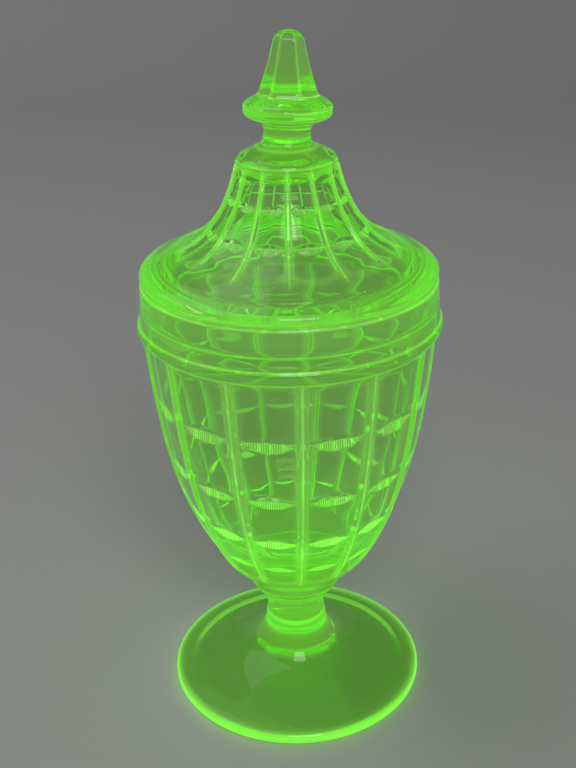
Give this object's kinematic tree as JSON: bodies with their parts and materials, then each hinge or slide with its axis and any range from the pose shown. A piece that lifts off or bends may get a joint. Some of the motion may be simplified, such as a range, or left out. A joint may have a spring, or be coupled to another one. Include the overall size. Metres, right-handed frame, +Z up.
{
  "type": "covered glass candy jar",
  "caption": "Footed pressed-glass jar with ribbed block panels and a loose domed lid with a faceted finial, for holding sweets.",
  "frame": {"origin": "centre of the plane the foot's resting ring stands on", "axes": "+Z up along the jar's axis of turning; -Y is the front, where one of the jar's ribs stands 3.7 degrees to the right"},
  "size_m": [0.0948, 0.0948, 0.2205],
  "materials": {
    "jar_glass": "clear green pressed glass, fire polished",
    "lid_glass": "clear green pressed glass, fire polished"
  },
  "bodies": {
    "jar_body": {"jar": "jar_glass"},
    "lid_body": {"lid": "lid_glass"}
  },
  "joints": [
    {"name": "lid_lift", "type": "slide", "parent": "jar_body", "child": "lid_body", "axis": [0, 0, 1], "range_m": [0, 0.09]}
  ]
}
